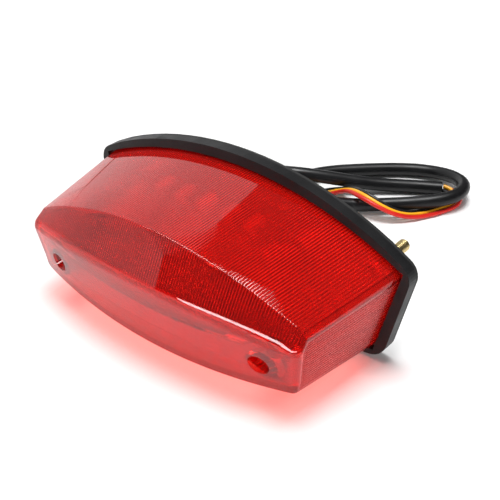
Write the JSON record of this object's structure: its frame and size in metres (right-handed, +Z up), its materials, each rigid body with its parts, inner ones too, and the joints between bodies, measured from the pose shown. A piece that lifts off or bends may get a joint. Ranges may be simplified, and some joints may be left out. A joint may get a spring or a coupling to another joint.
{
  "type": "tail light",
  "caption": "Motorcycle tail light: arched ribbed lens over a black housing with a light board, two rear fixing studs and a sleeved three-wire lead.",
  "frame": {"origin": "on the surface that the lamp stands on, under the middle of its bounding box without the lead", "axes": "+Z up, +Y towards the vehicle along the studs, +X along the width, the lens facing -Y"},
  "size_m": [0.157, 0.2101, 0.0662],
  "materials": {
    "red_lens": "clear moulded red plastic, glossy outside, ribbed inside",
    "seal_rubber": "matt black rubber",
    "housing_plastic": "fine-grained black moulded plastic",
    "pad_rubber": "matt black foam rubber",
    "board": "white solder mask",
    "led_lens": "clear epoxy",
    "component": "matt black moulded",
    "tin": "tinned, satin",
    "zinc": "bright zinc plated",
    "yellow_zinc": "yellow zinc plated steel",
    "sleeve": "smooth satin black vinyl",
    "wire_black": "satin vinyl",
    "wire_red": "satin vinyl",
    "wire_yellow": "satin vinyl",
    "tie_nylon": "black nylon"
  },
  "bodies": {
    "root": {"base_housing": "housing_plastic", "lens_seal": "seal_rubber", "mounting_pad": "pad_rubber", "circuit_board": "board", "leds": "led_lens", "resistors": "component", "diodes": "component", "solder_joints": "tin", "board_screws": "zinc", "board_wires": "wire_red", "inner_sleeve": "sleeve", "cable_tie": "tie_nylon", "wire_grommet": "seal_rubber", "stud_left": "yellow_zinc", "stud_right": "yellow_zinc", "cable_sleeve": "sleeve", "wire_black": "wire_black", "wire_red": "wire_red", "wire_yellow": "wire_yellow", "wire_end_black": "tin", "wire_end_red": "tin", "wire_end_yellow": "tin"},
    "lens_cover": {"lens": "red_lens"},
    "screw_left": {"lens_screw_left": "zinc", "screw_washer_left": "seal_rubber"},
    "screw_right": {"lens_screw_right": "zinc", "screw_washer_right": "seal_rubber"}
  },
  "joints": [
    {"name": "lens_off", "type": "slide", "parent": "root", "child": "lens_cover", "axis": [0, -1, 0], "range_m": [0, 0.08]},
    {"name": "screw_left_out", "type": "slide", "parent": "lens_cover", "child": "screw_left", "axis": [0, -1, 0], "range_m": [0, 0.062]},
    {"name": "screw_right_out", "type": "slide", "parent": "lens_cover", "child": "screw_right", "axis": [0, -1, 0], "range_m": [0, 0.062]}
  ]
}
